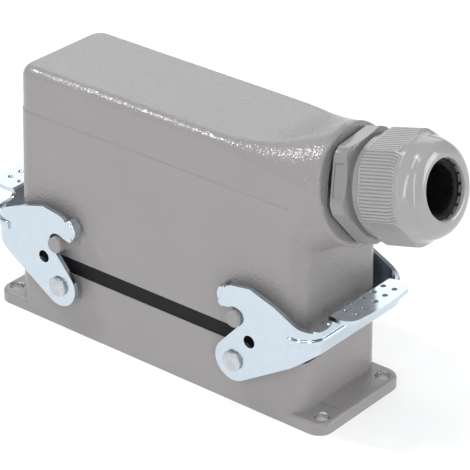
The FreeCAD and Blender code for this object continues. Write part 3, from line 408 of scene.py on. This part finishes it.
def ease_base(base):
    """Closes up the tiny corners beside the webs on the flange, so that its edges can be rounded."""
    merge(base, lambda place: place.z < HOLE_TOP and abs(place.x) > HOLE_X - WEB_START, within=0.13 * MM)


def ease_lever(lever):
    """Closes up the tiny corners at the hooks' tips, at the pedal's root and at the bead's ends, so that the
    edges can be rounded, and moves the corner of each hook's nose in."""
    side = 1 if lever.name.startswith("right") else -1
    merge(lever, lambda place: near(abs(place.x), HOOK_TIP[0], 1.5 * MM) and
          near(place.z, HOOK_TIP[1], 1.5 * MM), within=0.25 * MM)
    merge(lever, lambda place: near(abs(place.x), PEDAL_ROOT[0], 1 * MM) and
          near(abs(place.y), PEDAL_ROOT[1], 1 * MM), within=0.1 * MM)
    merge(lever, lambda place: near(abs(place.x), BEAD_END, 0.05 * MM) and
          BEAD_LOW < place.z < BEAD_HIGH, within=0.2 * MM)
    pick(lever, lambda place: math.hypot(place.x * side - HOOK_NOSE[0], place.z - HOOK_NOSE[1]) < 0.1 * MM)
    bpy.ops.transform.translate(value=(NOSE_MOVE[0] * side, 0, NOSE_MOVE[1]))
    close_piece()


def lies_flat(normal):
    return abs(normal.z) >= 0.9


def bare_holes(base, metal):
    """Leaves the four holes of the base's flange and their countersinks without paint."""
    give_faces(base, lambda place, normal: place.z < HOLE_TOP and not lies_flat(normal) and
               math.hypot(abs(place.x) - HOLE_X, abs(place.y) - HOLE_Y) < HOLE_RIM, metal)


def gland_axis():
    tilt = math.radians(90 - GLAND_TILT)
    return Vector((math.sin(tilt), 0, math.cos(tilt)))


def seal_and_shadow_band(stem, rubber):
    """Paints a thin dark band round the foot of the gland's hexagon: partly the flat rubber seal's edge,
    partly painted shadow in the gap between the hexagon and the boss.
    """
    axis = gland_axis()
    ring = Vector(BOSS_RING)
    pick(stem, lambda place: True)
    bpy.ops.mesh.bisect(plane_co=ring + axis * HEX_FOOT_END, plane_no=axis)
    give_faces(stem, lambda place, normal: (place - ring).length > HEX_FOOT_INSIDE and
               HEX_FOOT_START - 0.01 * MM < (place - ring).dot(axis) < HEX_FOOT_END, rubber)


# The gland's cap nut, modelled standing on its ribbed end and then laid along the gland's axis

def swept(first, leaving, arriving, last, steps):
    """Points on a smooth curve that leaves the first towards one guide and reaches the last from another."""
    guides = (first, leaving, arriving, last)
    points = []
    for number in range(1, steps + 1):
        share = number / steps
        rest = 1 - share
        weights = (rest ** 3, 3 * rest * rest * share, 3 * rest * share * share, share ** 3)
        points.append(tuple(sum(weight * guide[axis] for weight, guide in zip(weights, guides))
                            for axis in range(2)))
    return points


def nut_profile():
    """Radius and height of the nut's outside, its lip and its inside, from the ribbed end and back."""
    ribs_end = NUT_RIB_START + NUT_RIB_LENGTH
    flat = NUT_FLATS / 2
    corner = NUT_CORNERS / 2
    lip = NUT_MOUTH + NUT_LIP
    end = NUT_LENGTH
    band = [(corner - 0.8, 0), (corner - 0.2, NUT_RIB_START),
            (corner - 0.15, NUT_RIB_START + NUT_STEP), (corner, 0.8), (corner, ribs_end - 1.4),
            (flat + 0.35, ribs_end), (flat + 0.3, ribs_end + NUT_STEP), (flat - 0.4, ribs_end + 1.1)]
    shoulder = (flat - 0.5, ribs_end + 1.3)
    dome = swept(shoulder, (flat - 1.2, end - 2.8), (lip + 2.2, end - 0.2), (lip - 1.1, end),
                 NUT_DOME_STEPS)
    mouth = [(NUT_MOUTH + 0.7, end), (NUT_MOUTH + 0.15, end - 0.2), (NUT_MOUTH, end - 0.8)]
    inside = [(NUT_MOUTH, end - 1.2), (NUT_CLAW_MOUTH, end - 1.6), (NUT_CLAW_ROOM, end - 6.1),
              (NUT_CLAW_ROOM, 10.8), (NUT_THREAD, 9.2), (NUT_THREAD, 0)]
    return band + [shoulder] + dome + mouth + inside


def is_rib_valley(place):
    """True for the outside points that lie along the bottom of a groove."""
    turn = math.degrees(math.atan2(place.y, place.x)) * NUT_RIBS / 360
    low = (NUT_RIB_START + 0.04) * MM
    high = (NUT_RIB_START + NUT_RIB_LENGTH + 0.02) * MM
    on_outside = math.hypot(place.x, place.y) > (NUT_FLATS / 2 - 0.6) * MM
    return on_outside and low < place.z < high and near(turn, round(turn), 0.02)


def model_cap_nut():
    profile = [(radius * MM, height * MM) for radius, height in nut_profile()]
    flat = NUT_FLATS / 2 * MM
    side_turn = 360 / NUT_SIDES

    # A ring drawn up along the profile and closed into a round body
    nothing_selected()
    bpy.ops.mesh.primitive_circle_add(vertices=4 * NUT_RIBS, radius=profile[0][0], location=(0, 0, 0))
    nut = bpy.context.object
    nut.name = "gland_nut"
    bpy.ops.object.mode_set(mode="EDIT")
    bpy.ops.mesh.select_mode(type="VERT")
    bpy.ops.mesh.select_all(action="SELECT")
    for before, after in zip(profile, profile[1:]):
        bpy.ops.mesh.extrude_region_move(TRANSFORM_OT_translate={"value": (0, 0, after[1] - before[1])})
        if after[0] != before[0]:
            scale = after[0] / before[0]
            bpy.ops.transform.resize(value=(scale, scale, 1), center_override=(0, 0, after[1]))
    pick(nut, lambda one, other: max(one.z, other.z) < 0.01 * MM, "EDGE")
    bpy.ops.mesh.bridge_edge_loops()
    bpy.ops.mesh.select_all(action="SELECT")
    bpy.ops.mesh.normals_make_consistent(inside=False)

    # The flats are cut into it one after the other, and what stands out beyond them is pressed flat
    for number in range(NUT_SIDES):
        angle = math.radians(side_turn * number)
        facing = (math.cos(angle), math.sin(angle), 0)
        bpy.ops.mesh.select_all(action="SELECT")
        bpy.ops.mesh.bisect(plane_co=(flat * facing[0], flat * facing[1], 0), plane_no=facing,
                            threshold=0.5 * HAIR)
    nut.vertex_groups.new(name="grooves")
    pick(nut, is_rib_valley)
    bpy.ops.object.vertex_group_assign()
    for number in range(NUT_SIDES):
        pick(nut, lambda place: place.x > flat + HAIR)
        bpy.ops.transform.resize(value=(0, 1, 1), center_override=(flat, 0, 0))
        bpy.ops.mesh.select_all(action="SELECT")
        bpy.ops.transform.rotate(value=math.radians(side_turn), orient_axis="Z", center_override=(0, 0, 0))

    # The grooves between the ribs
    bpy.ops.mesh.select_all(action="DESELECT")
    bpy.ops.mesh.select_mode(type="VERT")
    bpy.ops.object.vertex_group_select()
    depth = 1 - NUT_RIB_DEPTH / (NUT_FLATS / 2)
    bpy.ops.transform.resize(value=(depth, depth, 1), center_override=(0, 0, 0))
    close_piece()
    nut.vertex_groups.clear()
    return nut


def lay_on_gland(piece, turn, along):
    """Turns a standing piece round its axis and lays it on the gland, this far out from the boss ring."""
    work_on(piece)
    piece.rotation_euler = (0, 0, math.radians(turn))
    bpy.ops.object.transform_apply(location=True, rotation=True, scale=True)
    piece.rotation_euler = (0, math.radians(90 - GLAND_TILT), 0)
    piece.location = Vector(BOSS_RING) + gland_axis() * along
    bpy.ops.object.transform_apply(location=True, rotation=True, scale=True)


# Studio

def make_floor():
    nothing_selected()
    bpy.ops.mesh.primitive_plane_add(size=FLOOR_SIZE, location=(0, 0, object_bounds()[0][2]))
    floor = bpy.context.object
    floor.name = "studio_floor"
    open_whole(floor)
    bpy.ops.mesh.subdivide(number_cuts=3)
    close_piece()
    bpy.ops.object.transform_apply(location=True, rotation=True, scale=True)
    floor.data.materials.append(floor_paint())


def soft_light(name, place, size, watts, colour):
    data = bpy.data.lights.new(name, "AREA")
    data.shape = "RECTANGLE"
    data.size, data.size_y = size
    data.energy = watts
    data.color = colour
    lamp = bpy.data.objects.new(name, data)
    bpy.context.scene.collection.objects.link(lamp)
    lamp.location = place
    lamp.rotation_euler = (Vector(LIT_POINT) - Vector(place)).to_track_quat("-Z", "Y").to_euler()


def make_studio():
    world = bpy.data.worlds.new("studio_air")
    world.use_nodes = True
    air = world.node_tree.nodes["Background"].inputs
    air["Color"].default_value = AIR_COLOUR
    air["Strength"].default_value = AIR_STRENGTH
    bpy.context.scene.world = world
    for name, settings in LIGHTS.items():
        soft_light(name, *settings)
    bpy.context.scene.view_settings.view_transform = "Standard"


def make_camera():
    data = bpy.data.cameras.new("studio_camera")
    data.lens = CAMERA_LENS
    data.sensor_width = CAMERA_SENSOR
    data.clip_start = 0.05
    data.clip_end = 30
    camera = bpy.data.objects.new("studio_camera", data)
    bpy.context.scene.collection.objects.link(camera)
    turn = Matrix((CAMERA_RIGHT, CAMERA_UP, CAMERA_BACK)).transposed().to_4x4()
    camera.matrix_world = Matrix.Translation(Vector(CAMERA_PLACE)) @ turn
    bpy.context.scene.camera = camera


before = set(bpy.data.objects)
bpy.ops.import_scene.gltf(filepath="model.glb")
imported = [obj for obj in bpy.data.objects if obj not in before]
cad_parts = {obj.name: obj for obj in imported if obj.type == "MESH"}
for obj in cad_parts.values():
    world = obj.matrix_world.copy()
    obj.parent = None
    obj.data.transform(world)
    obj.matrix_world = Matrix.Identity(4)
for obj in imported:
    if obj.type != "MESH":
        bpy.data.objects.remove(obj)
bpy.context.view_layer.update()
nothing_selected()

coat = powder_coat()
zinc = bright_zinc()
rivet_zinc = dull_metal("rivet_zinc", (0.50, 0.52, 0.54), (0.62, 0.64, 0.66), 0.42)
plate_zinc = dull_metal("earth_zinc", (0.60, 0.61, 0.62), (0.72, 0.73, 0.74), 0.3)
screw_zinc = dull_metal("screw_zinc", (0.56, 0.57, 0.58), (0.68, 0.69, 0.70), 0.32)
bare_metal = dull_metal("bare_metal", (0.50, 0.50, 0.51), (0.66, 0.66, 0.67), 0.25)
silver = dull_metal("contact_silver", (0.72, 0.70, 0.64), (0.82, 0.80, 0.74), 0.25)
seal_rubber = black_rubber("seal_rubber", 0.7)
bush_rubber = black_rubber("bush_rubber", 0.5)
nut_nylon = moulded_nylon("nut_nylon", (0.330, 0.327, 0.328), (0.352, 0.349, 0.350))
stem_nylon = moulded_nylon("stem_nylon", (0.256, 0.254, 0.256), (0.276, 0.274, 0.276))
plastic = insert_plastic()

base = rounded_copy("base_housing", "base_casting", "housing", coat, CAST_EDGE, ease_base)
bare_holes(base, bare_metal)
rounded_copy("hood_housing", "hood_casting", "housing", coat, CAST_EDGE, ease_hood)
plain_copy("panel_gasket", "panel_seal", "housing", seal_rubber)
plain_copy("mating_gasket", "hood_seal", "housing", seal_rubber)
plain_copy("lever_rivets", "hinge_rivets", "housing", rivet_zinc)
rounded_copy("lever_right", "right_lever", "lever_right", zinc, SHEET_EDGE, ease_lever)
rounded_copy("lever_left", "left_lever", "lever_left", zinc, SHEET_EDGE, ease_lever)
plain_copy("gland_washer", "gland_face_seal", "housing", seal_rubber)
stem = rounded_copy("gland_body", "gland_stem", "housing", stem_nylon, MOULDED_EDGE)
# The foot of the hexagon gets a band of black rubber: partly the seal's edge, partly painted shadow in the
# gap against the boss
seal_and_shadow_band(stem, bush_rubber)
plain_copy("gland_seal", "gland_bush", "housing", bush_rubber)
nut = model_cap_nut()
lay_on_gland(nut, NUT_TURN, NUT_OUT)
dress(nut, "cap_nut", "cap_nut", nut_nylon, SMOOTH_ROUNDED)
plain_copy("socket_insert", "socket_block", "housing", plastic)
plain_copy("pin_insert", "pin_block", "housing", plastic)
plain_copy("socket_contacts", "sockets", "housing", silver)
plain_copy("pin_contacts", "pins", "housing", silver)
for side in ("right", "left"):
    plain_copy("socket_earth_" + side, "socket_plate_" + side, "housing", plate_zinc)
    plain_copy("pin_earth_" + side, "pin_plate_" + side, "housing", plate_zinc)
plain_copy("socket_fixing_screws", "base_screws", "housing", screw_zinc)
plain_copy("pin_fixing_screws", "hood_screws", "housing", screw_zinc)
plain_copy("socket_earth_screws", "base_earth_screws", "housing", screw_zinc)
plain_copy("pin_earth_screws", "hood_earth_screws", "housing", screw_zinc)

make_floor()
make_studio()
make_camera()
